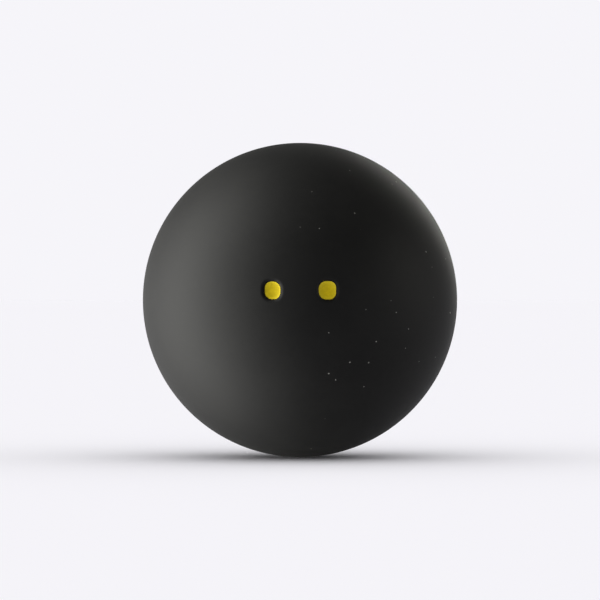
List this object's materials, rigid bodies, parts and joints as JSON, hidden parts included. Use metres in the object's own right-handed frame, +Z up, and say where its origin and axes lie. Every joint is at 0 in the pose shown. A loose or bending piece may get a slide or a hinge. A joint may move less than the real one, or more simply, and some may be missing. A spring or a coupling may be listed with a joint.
{
  "type": "squash ball",
  "caption": "Hollow matt black rubber ball moulded in halves and bonded along a hidden seam, with recessed yellow dots that mark its speed; struck with a racket in squash.",
  "frame": {"origin": "centre of the ball", "axes": "+Z up, with the painted dots facing -Y and level across X; Y is the moulding axis and the bonded seam lies in the XZ plane"},
  "size_m": [0.04, 0.04, 0.04],
  "materials": {
    "shell_rubber": "buffed matt",
    "rubber_cement": "cured rubber cement, buffed flush outside",
    "dot_paint": "flexible satin paint"
  },
  "bodies": {
    "root": {"front_half_shell": "shell_rubber", "rear_half_shell": "shell_rubber", "seam_adhesive": "rubber_cement", "left_dot": "dot_paint", "right_dot": "dot_paint"}
  },
  "joints": []
}
